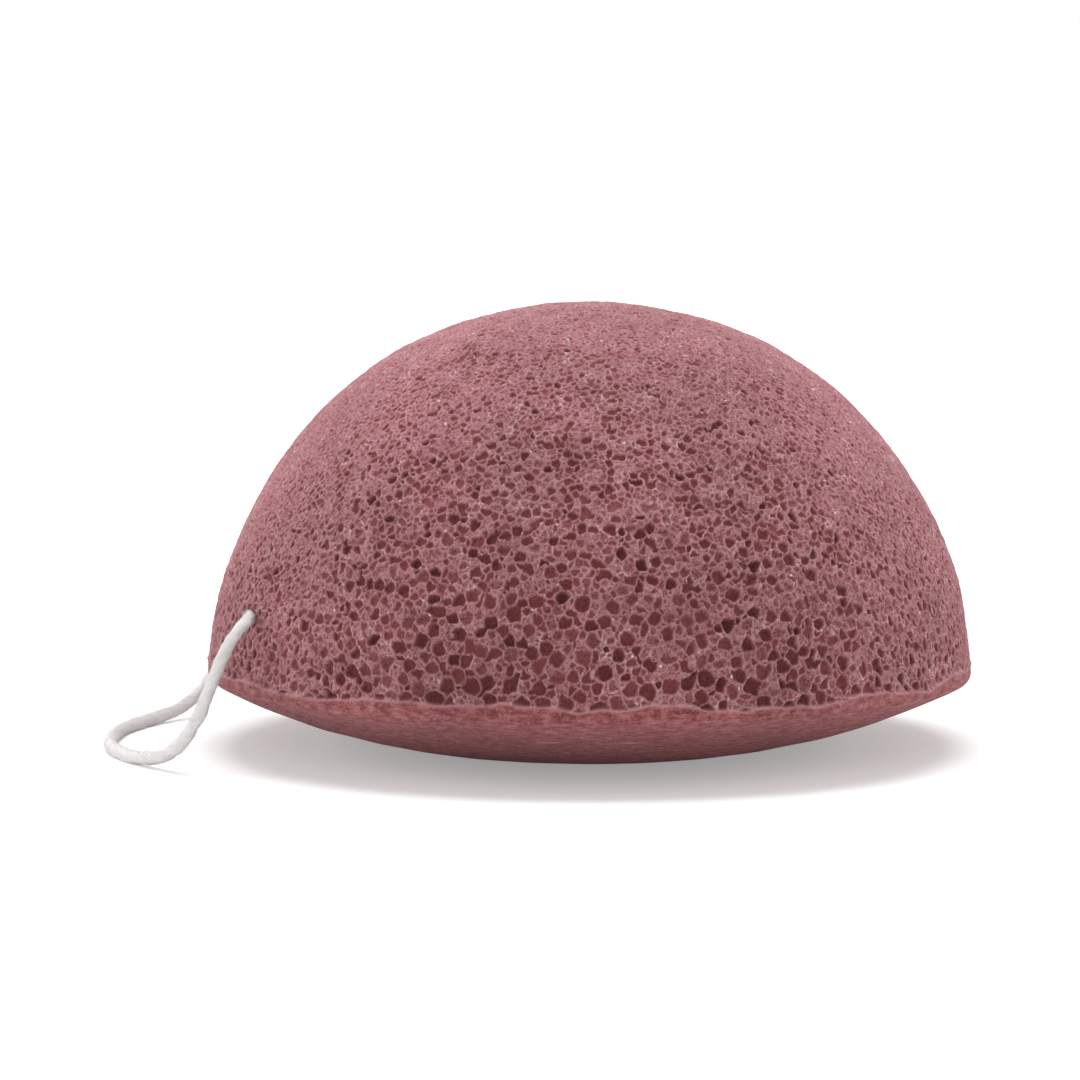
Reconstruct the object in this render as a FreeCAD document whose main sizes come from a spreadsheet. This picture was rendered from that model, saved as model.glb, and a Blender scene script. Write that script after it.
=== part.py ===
import FreeCAD, Part
import math
import os

import Sketcher

# A konjac face sponge: a moulded half ball of foamed konjac fibre on a bulged base,
# with a cotton string that is threaded through its edge and knotted inside it.
# Millimetres, +Z up, origin in the middle of the patch that the sponge rests on.
# The tunnel of the string runs along Y, on the -X side.

# alias, value, what it measures
SIZES = [
    ("sponge_diameter", 80.0, "sponge across its rim"),
    ("dome_height", 38.3, "crown above the rim"),
    ("base_bulge", 8.2, "rim above the patch that the sponge rests on"),
    ("rest_diameter", 20.0, "flat patch in the middle of the base"),
    ("rim_rounding", 1.1, "radius of the edge between dome and base"),
    ("string_diameter", 1.3, "cotton string"),
    ("tunnel_cover", 4.5, "foam outside the middle of the tunnel, to its axis"),
    ("tunnel_rise", 7.4, "axis of the tunnel above the rim"),
    ("tunnel_clearance", 0.1, "gap round the string and its knot"),
    ("knot_wraps", 3, "turns of the knot, a count"),
    ("tail_length", 2.4, "cut ends of the string past the knot"),
    ("cut_overrun", 3.0, "length of a cut past the face that it opens"),
]

# Spacing of the wraps as a share of the string's diameter: they squeeze each other.
WRAP_PITCH_SHARE = 0.9

# Shape of the loop as it lies: for each bend, the distance outward from the tunnel, the
# distance along Y past the mouth, and the share of the mouth's height above the table.
FRONT_BENDS = [
    (0.0, 3.2, 1.0),
    (1.6, 5.0, 0.89),
    (3.4, 5.4, 0.62),
    (5.2, 4.4, 0.31),
    (8.0, 1.8, 0.06),
    (11.8, -2.8, 0.0),
    (14.8, -9.2, 0.0),
    (15.8, -16.2, 0.0),
]
BACK_BENDS = [
    (0.0, 3.4, 1.0),
    (1.7, 5.2, 0.88),
    (3.7, 5.4, 0.61),
    (5.9, 4.2, 0.30),
    (9.0, 1.1, 0.05),
    (12.5, -4.2, 0.0),
    (15.1, -10.8, 0.0),
]
# Share of the shorter run that a bend's arc takes.
BEND_SHARE = 0.45

doc = FreeCAD.newDocument("konjac_sponge")
sheet = doc.addObject("Spreadsheet::Sheet", "sizes")
for row, (alias, number, meaning) in enumerate(SIZES, 1):
    sheet.set(f"A{row}", meaning)
    sheet.set(f"B{row}", str(number))
    sheet.setAlias(f"B{row}", alias)
doc.recompute()

# Sizes that follow from the sheet, as expressions. The arcs of dome and base are tangent
# to the rounding of the rim, whose middle lies on the rim's height.
REST_RADIUS = "sizes.rest_diameter / 2"
CROWN_HEIGHT = "sizes.base_bulge + sizes.dome_height"
RIM_MIDDLE = "(sizes.sponge_diameter / 2 - sizes.rim_rounding)"
DOME_SQUARES = f"{RIM_MIDDLE}^2 + sizes.dome_height^2 - sizes.rim_rounding^2"
DOME_RADIUS = f"({DOME_SQUARES}) / (2 * (sizes.dome_height - sizes.rim_rounding))"
BASE_SQUARES = f"({RIM_MIDDLE} - {REST_RADIUS})^2 + sizes.base_bulge^2 - sizes.rim_rounding^2"
BASE_RADIUS = f"({BASE_SQUARES}) / (2 * (sizes.base_bulge - sizes.rim_rounding))"

STRING_RADIUS = "sizes.string_diameter / 2"
TUNNEL_RADIUS = f"{STRING_RADIUS} + sizes.tunnel_clearance"
TUNNEL_HEIGHT = "sizes.base_bulge + sizes.tunnel_rise"
RISE_IN_DOME = f"(sizes.tunnel_rise + {DOME_RADIUS} - sizes.dome_height)"
REACH = f"sqrt(({DOME_RADIUS})^2 - {RISE_IN_DOME}^2)"
TUNNEL_OFFSET = f"({REACH} - sizes.tunnel_cover)"
HALF_CHORD = f"sqrt({REACH}^2 - {TUNNEL_OFFSET}^2)"

WRAP_PITCH = f"{WRAP_PITCH_SHARE} * sizes.string_diameter"
WRAPS_SPAN = f"(sizes.knot_wraps - 1) * {WRAP_PITCH}"
KNOT_HALF = f"sizes.knot_wraps * {WRAP_PITCH} / 2"
TAIL_OFFSET = "sizes.string_diameter + sizes.tunnel_clearance"
CHAMBER_RADIUS = f"{TAIL_OFFSET} + {TUNNEL_RADIUS}"
CHAMBER_HALF = f"{KNOT_HALF} + sizes.tail_length + sizes.tunnel_clearance"


def value(expression):
    return float(sheet.evalExpression(expression))


def start_sketch(body, name, plane):
    sketch = body.newObject("Sketcher::SketchObject", name)
    planes = [item for item in body.Origin.OriginFeatures if item.Role == plane]
    sketch.AttachmentSupport = [(planes[0], "")]
    sketch.MapMode = "FlatFace"
    return sketch


def dimension(sketch, kind, places, name, expression):
    index = sketch.addConstraint(Sketcher.Constraint(kind, *places, value(expression)))
    sketch.renameConstraint(index, name)
    sketch.setExpression(f"Constraints.{name}", expression)


def point(across, up):
    return FreeCAD.Vector(across, up, 0)


def line(start, end):
    return Part.LineSegment(start, end)


def arc(middle, radius, start, end):
    angles = [math.atan2(place.y - middle.y, place.x - middle.x) for place in (start, end)]
    circle = Part.Circle(middle, FreeCAD.Vector(0, 0, 1), radius)
    return Part.ArcOfCircle(circle, *angles)


# Sponge: half of its outline, turned about Z
sponge = doc.addObject("PartDesign::Body", "sponge_body")
outline = start_sketch(sponge, "sponge_outline", "XZ_Plane")
rest = point(value(REST_RADIUS), 0)
rim_middle = point(value(RIM_MIDDLE), value("sizes.base_bulge"))
crown = point(0, value(CROWN_HEIGHT))
base_middle = point(rest.x, value(BASE_RADIUS))
dome_middle = point(0, crown.y - value(DOME_RADIUS))
base_end = base_middle + (rim_middle - base_middle).normalize() * value(BASE_RADIUS)
dome_start = dome_middle + (rim_middle - dome_middle).normalize() * value(DOME_RADIUS)
outline.addGeometry(line(point(0, 0), rest))
outline.addGeometry(arc(base_middle, value(BASE_RADIUS), rest, base_end))
outline.addGeometry(arc(rim_middle, value("sizes.rim_rounding"), base_end, dome_start))
outline.addGeometry(arc(dome_middle, value(DOME_RADIUS), dome_start, crown))
outline.addGeometry(line(crown, point(0, 0)))
outline.addConstraint(Sketcher.Constraint("Coincident", 0, 1, -1, 1))
outline.addConstraint(Sketcher.Constraint("Horizontal", 0))
for index in range(3):
    outline.addConstraint(Sketcher.Constraint("Tangent", index, 2, index + 1, 1))
outline.addConstraint(Sketcher.Constraint("PointOnObject", 3, 3, -2))
outline.addConstraint(Sketcher.Constraint("Coincident", 3, 2, 4, 1))
outline.addConstraint(Sketcher.Constraint("Coincident", 4, 2, -1, 1))
outline.addConstraint(Sketcher.Constraint("Vertical", 4))
dimension(outline, "DistanceX", (-1, 1, 0, 2), "rest_radius", REST_RADIUS)
dimension(outline, "DistanceX", (-1, 1, 2, 3), "rim_middle", RIM_MIDDLE)
dimension(outline, "DistanceY", (-1, 1, 2, 3), "rim_height", "sizes.base_bulge")
dimension(outline, "Radius", (2,), "rim_rounding", "sizes.rim_rounding")
dimension(outline, "DistanceY", (-1, 1, 3, 2), "crown_height", CROWN_HEIGHT)

half_ball = sponge.newObject("PartDesign::Revolution", "half_ball")
half_ball.Profile = outline
half_ball.ReferenceAxis = (outline, ["V_Axis"])
doc.recompute()
uncut_volume = sponge.Shape.Volume

# Tunnel of the string, wider in the middle where the knot sits: half of its
# section, turned about its own axis
tunnel_outline = start_sketch(sponge, "tunnel_outline", "YZ_Plane")
tunnel_outline.setExpression("AttachmentOffset.Base.y", TUNNEL_HEIGHT)
tunnel_outline.setExpression("AttachmentOffset.Base.z", f"-{TUNNEL_OFFSET}")
tunnel_end = value(f"{HALF_CHORD} + sizes.cut_overrun")
chamber_end = value(CHAMBER_HALF)
tunnel_side = value(TUNNEL_RADIUS)
chamber_side = value(CHAMBER_RADIUS)
corners = [
    point(-tunnel_end, 0),
    point(-tunnel_end, tunnel_side),
    point(-chamber_end, tunnel_side),
    point(-chamber_end, chamber_side),
    point(chamber_end, chamber_side),
    point(chamber_end, tunnel_side),
    point(tunnel_end, tunnel_side),
    point(tunnel_end, 0),
]
for index, corner in enumerate(corners):
    tunnel_outline.addGeometry(line(corner, corners[(index + 1) % len(corners)]))
for index in range(len(corners)):
    following = (index + 1) % len(corners)
    tunnel_outline.addConstraint(Sketcher.Constraint("Coincident", index, 2, following, 1))
for upright in (0, 2, 4, 6):
    tunnel_outline.addConstraint(Sketcher.Constraint("Vertical", upright))
for level in (1, 5):
    tunnel_outline.addConstraint(Sketcher.Constraint("Horizontal", level))
tunnel_outline.addConstraint(Sketcher.Constraint("PointOnObject", 0, 1, -1))
tunnel_outline.addConstraint(Sketcher.Constraint("Symmetric", 0, 1, 6, 2, -1, 1))
tunnel_outline.addConstraint(Sketcher.Constraint("Equal", 0, 6))
tunnel_outline.addConstraint(Sketcher.Constraint("Symmetric", 2, 2, 4, 1, -2))
dimension(tunnel_outline, "DistanceX", (-1, 1, 6, 2), "tunnel_end", f"{HALF_CHORD} + sizes.cut_overrun")
dimension(tunnel_outline, "DistanceX", (-1, 1, 4, 1), "chamber_end", CHAMBER_HALF)
dimension(tunnel_outline, "DistanceY", (-1, 1, 0, 2), "tunnel_side", TUNNEL_RADIUS)
dimension(tunnel_outline, "DistanceY", (-1, 1, 2, 2), "chamber_side", CHAMBER_RADIUS)

tunnel = sponge.newObject("PartDesign::Groove", "string_tunnel")
tunnel.Profile = tunnel_outline
tunnel.ReferenceAxis = (tunnel_outline, ["H_Axis"])
doc.recompute()
print("tunnel takes", round(uncut_volume - sponge.Shape.Volume, 2), "mm3 from the sponge")


# The two threaded stretches of the string, from each mouth to the knot
def place_on_tunnel(item, along):
    item.setExpression("Placement.Base.x", f"-{TUNNEL_OFFSET}")
    item.setExpression("Placement.Base.y", along)
    item.setExpression("Placement.Base.z", TUNNEL_HEIGHT)


def threaded_run(name, start):
    run = doc.addObject("Part::Cylinder", name)
    run.setExpression("Radius", STRING_RADIUS)
    run.setExpression("Height", f"{HALF_CHORD} - {KNOT_HALF}")
    run.Placement.Rotation = FreeCAD.Rotation(FreeCAD.Vector(1, 0, 0), -90)
    place_on_tunnel(run, start)
    return run


front_run = threaded_run("string_front_run", f"-{HALF_CHORD}")
back_run = threaded_run("string_back_run", KNOT_HALF)

# Knot: half of its section along Y, with a bulge for each wrap, turned about Y, and a
# cut end of the string past each side
knot = doc.addObject("PartDesign::Body", "string_knot")
knot_outline = start_sketch(knot, "knot_outline", "YZ_Plane")
wrap_count = int(value("sizes.knot_wraps"))
wrap_pitch = value(WRAP_PITCH)
wrap_radius = value(STRING_RADIUS)
knot_end = value(KNOT_HALF)
dip = value("sizes.string_diameter") + math.sqrt(wrap_radius**2 - (wrap_pitch / 2)**2)
knot_outline.addGeometry(line(point(-knot_end, 0), point(-knot_end, dip)))
for index in range(wrap_count):
    left = point(-knot_end + index * wrap_pitch, dip)
    right = point(left.x + wrap_pitch, dip)
    middle = point((left.x + right.x) / 2, value("sizes.string_diameter"))
    knot_outline.addGeometry(arc(middle, wrap_radius, right, left))
last_side = wrap_count + 1
knot_outline.addGeometry(line(point(knot_end, dip), point(knot_end, 0)))
knot_outline.addGeometry(line(point(knot_end, 0), point(-knot_end, 0)))
knot_outline.addConstraint(Sketcher.Constraint("Coincident", 0, 2, 1, 2))
for index in range(1, wrap_count):
    knot_outline.addConstraint(Sketcher.Constraint("Coincident", index, 1, index + 1, 2))
    knot_outline.addConstraint(Sketcher.Constraint("Equal", index, index + 1))
    knot_outline.addConstraint(Sketcher.Constraint("Horizontal", index, 3, index + 1, 3))
    dimension(knot_outline, "DistanceX", (index, 3, index + 1, 3), f"wrap_pitch_{index}", WRAP_PITCH)
knot_outline.addConstraint(Sketcher.Constraint("Coincident", wrap_count, 1, last_side, 1))
knot_outline.addConstraint(Sketcher.Constraint("Coincident", last_side, 2, last_side + 1, 1))
knot_outline.addConstraint(Sketcher.Constraint("Coincident", last_side + 1, 2, 0, 1))
for side in (0, last_side):
    knot_outline.addConstraint(Sketcher.Constraint("Vertical", side))
knot_outline.addConstraint(Sketcher.Constraint("PointOnObject", 0, 1, -1))
knot_outline.addConstraint(Sketcher.Constraint("Symmetric", 0, 1, last_side, 2, -1, 1))
dimension(knot_outline, "DistanceX", (1, 3, -1, 1), "first_wrap", f"{WRAPS_SPAN} / 2")
dimension(knot_outline, "DistanceY", (-1, 1, 1, 3), "wrap_middle", "sizes.string_diameter")
dimension(knot_outline, "Radius", (1,), "wrap_radius", STRING_RADIUS)
dimension(knot_outline, "DistanceX", (-1, 1, last_side, 2), "knot_end", KNOT_HALF)
wraps = knot.newObject("PartDesign::Revolution", "knot_wraps")
wraps.Profile = knot_outline
wraps.ReferenceAxis = (knot_outline, ["H_Axis"])
doc.recompute()


def knot_tail(name, side):
    tail_outline = start_sketch(knot, f"{name}_outline", "XZ_Plane")
    tail_outline.setExpression("AttachmentOffset.Base.z", f"{side} * ({KNOT_HALF})")
    middle = point(0, side * value(TAIL_OFFSET))
    tail_outline.addGeometry(Part.Circle(middle, FreeCAD.Vector(0, 0, 1), value(STRING_RADIUS)))
    tail_outline.addConstraint(Sketcher.Constraint("PointOnObject", 0, 3, -2))
    places = (-1, 1, 0, 3) if side > 0 else (0, 3, -1, 1)
    dimension(tail_outline, "DistanceY", places, "tail_offset", TAIL_OFFSET)
    dimension(tail_outline, "Radius", (0,), "tail_radius", STRING_RADIUS)
    tail = knot.newObject("PartDesign::Pad", name)
    tail.Profile = tail_outline
    tail.Reversed = side < 0
    tail.setExpression("Length", "sizes.tail_length")
    doc.recompute()


knot_tail("front_tail", 1)
knot_tail("back_tail", -1)
place_on_tunnel(knot, "0")

# Loop: a round string along straight runs that are joined by tangent arcs
string_radius = value(STRING_RADIUS)
mouth_lift = value(TUNNEL_HEIGHT) - string_radius


def loop_place(out, past_mouth, lift_share, side):
    across = -(value(TUNNEL_OFFSET) + out)
    along = side * (value(HALF_CHORD) + past_mouth)
    return FreeCAD.Vector(across, along, string_radius + lift_share * mouth_lift)


front_mouth = loop_place(0, 0, 1, -1)
back_mouth = loop_place(0, 0, 1, 1)
route = [front_mouth]
route += [loop_place(*bend, -1) for bend in FRONT_BENDS]
route += [loop_place(*bend, 1) for bend in reversed(BACK_BENDS)]
route += [back_mouth]


def rounded_path(points):
    edges = []
    radii = []
    start = points[0]
    for before, corner, after in zip(points, points[1:], points[2:]):
        shorter = min((corner - before).Length, (after - corner).Length)
        to_before = (before - corner).normalize()
        to_after = (after - corner).normalize()
        half_turn = (math.pi - to_before.getAngle(to_after)) / 2
        cut = BEND_SHARE * shorter
        radius = cut / math.tan(half_turn)
        bend_start = corner + to_before * cut
        bend_end = corner + to_after * cut
        inward = (to_before + to_after).normalize()
        nearest = corner + inward * (radius / math.cos(half_turn) - radius)
        edges.append(Part.LineSegment(start, bend_start).toShape())
        edges.append(Part.Arc(bend_start, nearest, bend_end).toShape())
        radii.append(radius)
        start = bend_end
    edges.append(Part.LineSegment(start, points[-1]).toShape())
    return Part.Wire(edges), radii


path, bend_radii = rounded_path(route)
section = Part.Wire(Part.makeCircle(string_radius, front_mouth, route[1] - front_mouth))
loop = doc.addObject("Part::Feature", "string_loop")
loop.Shape = path.makePipeShell([section], True, False)
print("bend radii of the loop", [round(radius, 1) for radius in bend_radii])
print("length of the loop", round(path.Length, 1))
swept = math.pi * string_radius**2 * path.Length
print("volume of the loop over section times length", round(loop.Shape.Volume / swept, 4))

# Every sub-part is checked and written to its own file
doc.recompute()
faults = [item.Name for item in doc.Objects if "Invalid" in item.State or "Error" in item.State]
if faults:
    raise RuntimeError(f"not built: {faults}")
os.makedirs("parts", exist_ok=True)
for item in (sponge, loop, front_run, back_run, knot):
    item.Label = item.Name
    shape = item.Shape
    if shape.isNull() or not shape.isValid():
        raise RuntimeError(f"no valid shape: {item.Label}")
    print(item.Label, "solids", len(shape.Solids), "volume", round(shape.Volume, 1), shape.BoundBox)
    shape.exportStep(f"parts/{item.Label}.step")
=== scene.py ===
import math

import bpy
import numpy as np
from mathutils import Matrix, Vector


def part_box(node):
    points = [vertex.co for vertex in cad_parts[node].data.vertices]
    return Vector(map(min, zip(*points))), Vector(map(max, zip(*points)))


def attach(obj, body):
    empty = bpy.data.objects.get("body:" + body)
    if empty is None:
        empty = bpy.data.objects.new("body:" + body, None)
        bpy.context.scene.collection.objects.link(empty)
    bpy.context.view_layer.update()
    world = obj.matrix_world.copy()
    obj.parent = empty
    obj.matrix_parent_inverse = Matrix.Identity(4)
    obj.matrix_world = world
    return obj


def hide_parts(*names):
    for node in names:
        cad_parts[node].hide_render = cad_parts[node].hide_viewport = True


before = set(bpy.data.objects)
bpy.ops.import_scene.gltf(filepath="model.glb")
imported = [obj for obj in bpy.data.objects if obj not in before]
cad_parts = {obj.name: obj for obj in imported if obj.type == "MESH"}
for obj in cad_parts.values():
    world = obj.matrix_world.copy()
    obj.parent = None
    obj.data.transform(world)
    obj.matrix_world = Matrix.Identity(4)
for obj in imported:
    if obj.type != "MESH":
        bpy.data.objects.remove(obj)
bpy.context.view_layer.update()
mm = 0.001
waveSpread = (0.7, 1.5)  # shortest and longest wave of a noise, as shares of its wavelength
scene = bpy.context.scene
scene.view_settings.view_transform = "Standard"
print("frame loaded with", len(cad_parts), "nodes")


def addMesh(name, places, faceBlocks, material, smooth=True):
    # a mesh at the origin from an array of places in metres and index arrays of equal-sided faces
    mesh = bpy.data.meshes.new(name)
    sides = np.concatenate([np.full(len(block), block.shape[1]) for block in faceBlocks])
    corners = np.concatenate([block.ravel() for block in faceBlocks])
    mesh.vertices.add(len(places))
    mesh.vertices.foreach_set("co", np.ascontiguousarray(places, np.float32).ravel())
    mesh.loops.add(len(corners))
    mesh.loops.foreach_set("vertex_index", corners.astype(np.int32))
    mesh.polygons.add(len(sides))
    mesh.polygons.foreach_set("loop_start", (np.cumsum(sides) - sides).astype(np.int32))
    mesh.polygons.foreach_set("loop_total", sides.astype(np.int32))
    mesh.polygons.foreach_set("use_smooth", np.full(len(sides), smooth))
    mesh.update(calc_edges=True)
    mesh.validate()
    mesh.materials.append(material)
    piece = bpy.data.objects.new(name, mesh)
    scene.collection.objects.link(piece)
    return piece


def addAttribute(piece, name, values):
    # one number or one vector for every vertex
    kind, field = ("FLOAT_VECTOR", "vector") if values.ndim == 2 else ("FLOAT", "value")
    layer = piece.data.attributes.new(name, kind, "POINT")
    layer.data.foreach_set(field, np.ascontiguousarray(values, np.float32).ravel())


def smoothStep(low, high, values):
    # 0 below low, 1 above high, a soft S between them
    share = np.clip((values - low) / (high - low), 0, 1)
    return share * share * (3 - 2 * share)


def waveNoise(places, wavelength, count, seed):
    # sum of plane waves of about one length, with random directions and phases
    rng = np.random.default_rng(seed)
    directions = rng.normal(size=(count, 3))
    directions /= np.linalg.norm(directions, axis=1, keepdims=True)
    directions *= 2 * math.pi / (wavelength * rng.uniform(*waveSpread, (count, 1)))
    phases = rng.uniform(0, 2 * math.pi, count)
    total = np.zeros(len(places))
    for direction, phase in zip(directions, phases):
        total += np.sin(places @ direction + phase)
    return total / math.sqrt(count)


def startMaterial(name):
    # a material with one principled shader on its output
    material = bpy.data.materials.new(name)
    material.use_nodes = True
    tree = material.node_tree
    tree.nodes.clear()
    output = tree.nodes.new("ShaderNodeOutputMaterial")
    shader = tree.nodes.new("ShaderNodeBsdfPrincipled")
    tree.links.new(shader.outputs["BSDF"], output.inputs["Surface"])
    return material, tree, shader


def setInputs(tree, node, inputs):
    # a link on each input whose value is another node's output, else the value itself
    for key, value in inputs.items():
        if isinstance(value, bpy.types.NodeSocket):
            tree.links.new(value, node.inputs[key])
        else:
            node.inputs[key].default_value = value


def addNode(tree, kind, inputs, **settings):
    # a node with its settings, and values or links on its input sockets
    node = tree.nodes.new(kind)
    for key, value in settings.items():
        setattr(node, key, value)
    setInputs(tree, node, inputs)
    return node


def addMath(tree, operation, first, second=0.0, third=0.0):
    # the operation's result on up to three numbers
    node = addNode(tree, "ShaderNodeMath", {0: first, 1: second, 2: third}, operation=operation)
    return node.outputs["Value"]


def addVectorMath(tree, operation, *vectors):
    # the outputs of an operation on up to three vectors
    return addNode(tree, "ShaderNodeVectorMath", dict(enumerate(vectors)), operation=operation).outputs


def addRange(tree, value, low, high, newLow=0.0, newHigh=1.0):
    # a soft S from newLow, below low, to newHigh, above high
    inputs = {"Value": value, "From Min": low, "From Max": high, "To Min": newLow, "To Max": newHigh}
    return addNode(tree, "ShaderNodeMapRange", inputs, interpolation_type="SMOOTHSTEP").outputs["Result"]


def addRamp(tree, factor, stops):
    # colours blended between stops, each a place from 0 to 1 and a colour
    ramp = addNode(tree, "ShaderNodeValToRGB", {"Fac": factor})
    elements = ramp.color_ramp.elements
    while len(elements) < len(stops):
        elements.new(0.5)
    for element, (place, colour) in zip(elements, stops):
        element.position = place
        element.color = opaque(colour)
    return ramp.outputs["Color"]


def opaque(colour):
    # a colour with full cover, or the socket that gives one
    return colour if isinstance(colour, bpy.types.NodeSocket) else (*colour, 1)


def mixColours(tree, factor, first, second, blend="MIX"):
    # the first colour where the factor is 0, the second or its blend with the first where it is 1
    inputs = {0: factor, 6: opaque(first), 7: opaque(second)}  # the node's sockets for colours
    return addNode(tree, "ShaderNodeMix", inputs, data_type="RGBA", blend_type=blend).outputs[2]


def greyColour(tree, value):
    # one number as a grey
    return addNode(tree, "ShaderNodeCombineColor", {0: value, 1: value, 2: value}).outputs["Color"]


def addNoise(tree, place, scale, detail=2.0, roughness=0.5, output="Fac"):
    # cloudy noise, as a number or as a colour
    inputs = {"Vector": place, "Scale": scale, "Detail": detail, "Roughness": roughness}
    return addNode(tree, "ShaderNodeTexNoise", inputs).outputs[output]


def addCells(tree, place, scale, feature="F1"):
    # random cells: the distance from a cell's middle or edge, and a random colour for each cell
    inputs = {"Vector": place, "Scale": scale, "Randomness": 1.0}
    return addNode(tree, "ShaderNodeTexVoronoi", inputs, feature=feature).outputs


def addStretch(tree, place, scale):
    # a place scaled along each axis
    return addNode(tree, "ShaderNodeMapping", {"Vector": place, "Scale": scale}).outputs["Vector"]


def readAttribute(tree, name, output="Fac"):
    # a vertex attribute, as a number or as a vector
    return addNode(tree, "ShaderNodeAttribute", {}, attribute_name=name).outputs[output]


def objectPlace(tree):
    # the place on the piece, in metres
    return addNode(tree, "ShaderNodeTexCoord", {}).outputs["Object"]


def scaled(colour, share):
    # a colour times a share, at most 1
    return tuple(min(1.0, value * share) for value in colour)


# camera, lights and ground
camera = dict(
    distance=0.50,
    elevation=5.8,  # degrees above the rim's plane, as in the photograph
    frameWidth=0.113,
    target=(-0.0052, 0.0, 0.0215),
    sensorWidth=36,
    clipStart=0.01,
)
lightAim = (0, 0, 0.02)
lights = dict(
    top=dict(place=(0.0, 0.08, 0.62), size=0.55, power=3.6),
    front=dict(place=(-0.10, -0.75, 0.25), size=0.50, power=1.6),
    left=dict(place=(-0.60, 0.0, 0.12), size=0.45, power=1.6),
    right=dict(place=(0.60, 0.0, 0.12), size=0.45, power=1.6),
)
ground = dict(
    radius=3.0,
    sides=96,
    colour=(0.8, 0.8, 0.8),
    nearLift=0.30,
    farLift=0.95,
    liftFrom=0.06,
    liftTo=0.4,
)
worldStrength = 0.44


def addCamera(distance, elevation, frameWidth, target, sensorWidth, clipStart):
    # the lens is as long as makes the frame that wide at the target
    data = bpy.data.cameras.new("camera")
    data.sensor_width = sensorWidth
    data.lens = sensorWidth * distance / frameWidth
    data.clip_start = clipStart
    tilt = math.radians(elevation)
    view = bpy.data.objects.new("camera", data)
    view.location = Vector(target) + distance * Vector((0, -math.cos(tilt), math.sin(tilt)))
    view.rotation_euler = (math.pi / 2 - tilt, 0, 0)
    scene.collection.objects.link(view)
    scene.camera = view


def addLight(name, place, size, power):
    # a square area light that is turned to the sponge
    data = bpy.data.lights.new(name, "AREA")
    data.shape = "SQUARE"
    data.size = size
    data.energy = power
    light = bpy.data.objects.new(name, data)
    light.location = place
    light.rotation_euler = (Vector(lightAim) - Vector(place)).to_track_quat("-Z", "Y").to_euler()
    scene.collection.objects.link(light)


def seenRays(tree):
    # 1 for rays that show the white surroundings, straight or in a surface
    path = addNode(tree, "ShaderNodeLightPath", {}).outputs
    seen = addMath(tree, "MAXIMUM", path["Is Camera Ray"], path["Is Glossy Ray"])
    return addMath(tree, "MAXIMUM", seen, path["Is Transmission Ray"])


def addWorld():
    # white where it is seen, and a weaker white light on the part
    world = bpy.data.worlds.new("world")
    scene.world = world
    world.use_nodes = True
    tree = world.node_tree
    tree.nodes.clear()
    strength = addMath(tree, "MULTIPLY_ADD", seenRays(tree), 1 - worldStrength, worldStrength)
    backdrop = addNode(tree, "ShaderNodeBackground", {"Color": (1, 1, 1, 1), "Strength": strength})
    addNode(tree, "ShaderNodeOutputWorld", {"Surface": backdrop.outputs["Background"]})


def addGround(radius, sides, colour, nearLift, farLift, liftFrom, liftTo):
    # a white disc that keeps the shadow; what is seen of it is lifted to white, more so far away
    material, tree, shader = startMaterial("groundWhite")
    away = addVectorMath(tree, "LENGTH", objectPlace(tree))["Value"]
    lift = addRange(tree, away, liftFrom, liftTo, nearLift, farLift)
    finish = {
        "Base Color": opaque(colour),
        "Roughness": 0.9,
        "Specular IOR Level": 0.0,
        "Emission Color": (1, 1, 1, 1),
        "Emission Strength": addMath(tree, "MULTIPLY", seenRays(tree), lift),
    }
    setInputs(tree, shader, finish)
    turns = np.linspace(0, 2 * math.pi, sides, endpoint=False)
    ring = np.stack([np.cos(turns), np.sin(turns), np.zeros(sides)], axis=1) * radius
    addMesh("floor", ring, [np.arange(sides)[None, :]], material, smooth=False)


addCamera(**camera)
for lightName, values in lights.items():
    addLight(lightName, **values)
addWorld()
addGround(**ground)
print("camera, lights and ground are set")

# the string: soft plied cotton through the tunnel and round the loop
cotton = dict(
    diameter=1.3 * mm,
    plyOffset=0.09 * mm,
    plyPitch=6.5 * mm,
    thickThin=0.07,
    lumpLength=3.4 * mm,
    lumpWaves=9,
    lumpLimits=(-1.5, 0.8),
    sides=36,
    ringStep=0.14 * mm,
    fibreRelief=0.04 * mm,
    strandScale=(0.45, 2.2, 2.2),  # strands of fibre are long along the yarn
    strandLengths=(1.1, 0.5),
    strandWaves=16,
    strandLimits=(-1.5, 1.5),
    fuzzCount=6500,
    fuzzRings=4,
    fuzzLength=(0.25 * mm, 0.95 * mm),
    fuzzRadius=0.013 * mm,
    fuzzTaper=1.15,  # a fibre is this share of its radius at its root, and 1 less at its tip
    fuzzRoot=0.44,  # share of the diameter at which a fibre starts
    fuzzStart=(0.6, 0.7, 0.4),  # outward, along and sideways as it leaves the yarn
    fuzzBend=(0.3, 0.5, 0.5),  # back inward, along and sideways as it curls
    fuzzLift=0.02 * mm,
    girths=(0.84, 1.06),  # share of the diameter at the foam and well away from it
    heldLength=14 * mm,  # it is back at its full girth this far from a mouth
    across=(0.88, 0.0, -0.47),  # lies across every stretch of the route
    colour=(0.97, 0.905, 0.90),
    tones=[(0.36, 0.78), (0.52, 1.0), (0.66, 1.06)],  # place on the ramp and share of the colour
    toneShares=(0.7, 0.3),  # fibres and cloud
    fibreScale=(0.5, 4.5, 4.5),
    cloudScale=420.0,
)

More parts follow.
